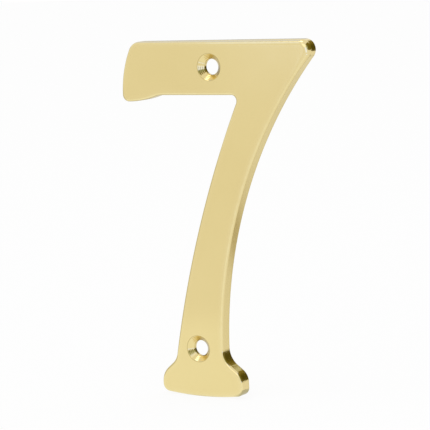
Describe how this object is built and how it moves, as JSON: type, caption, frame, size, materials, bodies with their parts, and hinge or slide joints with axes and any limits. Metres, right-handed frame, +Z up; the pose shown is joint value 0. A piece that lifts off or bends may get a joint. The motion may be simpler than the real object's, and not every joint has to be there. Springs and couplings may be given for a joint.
{
  "type": "door number",
  "caption": "Polished brass door number, the figure seven, cast in one piece with a rounded front edge, a serif, a spread foot, a relieved back and countersunk screw holes.",
  "frame": {"origin": "lowest point of the foot, on the back plane that lies against the door", "axes": "+Z up the figure, +X to the reader's right, +Y into the door, so the front faces -Y"},
  "size_m": [0.0458, 0.003, 0.075],
  "materials": {
    "brass": "polished brass with a fine satin grain, clear lacquered"
  },
  "bodies": {
    "root": {"numeral_seven": "brass"}
  },
  "joints": []
}
